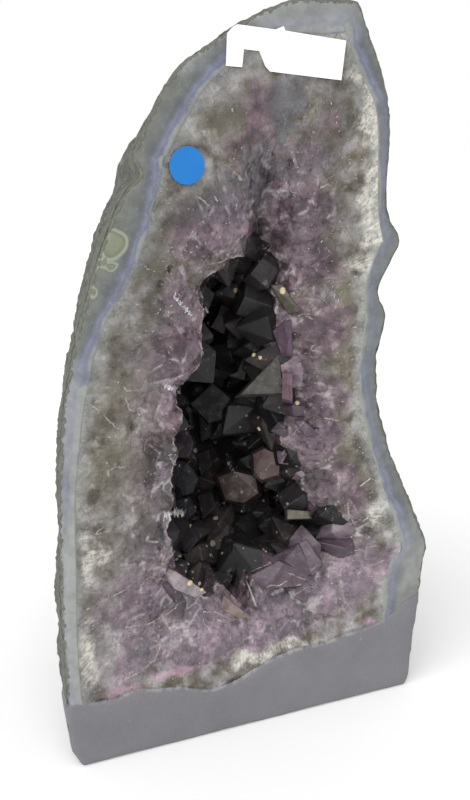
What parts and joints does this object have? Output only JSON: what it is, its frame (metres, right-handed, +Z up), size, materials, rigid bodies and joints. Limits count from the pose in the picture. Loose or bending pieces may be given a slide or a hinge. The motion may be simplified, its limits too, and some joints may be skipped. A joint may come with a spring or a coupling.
{
  "type": "amethyst cathedral geode",
  "caption": "Upright half of an amethyst geode, sawn open to show its crystal-lined hollow, standing in a grey cement foot.",
  "frame": {"origin": "middle of the footprint, on the underside of the cement foot", "axes": "+Z up; the sawn face with the hollow looks along -Y; +X is to the right of someone who looks into the hollow"},
  "size_m": [0.2302, 0.1516, 0.4102],
  "materials": {
    "basalt_and_agate": "satin",
    "amethyst": "gloss",
    "cement": "matte",
    "white_card": "matte",
    "blue_paper": "satin"
  },
  "bodies": {
    "root": {"geode_shell": "basalt_and_agate", "amethyst_crust": "amethyst", "cement_base": "cement", "blank_label": "white_card", "round_sticker": "blue_paper"}
  },
  "joints": []
}
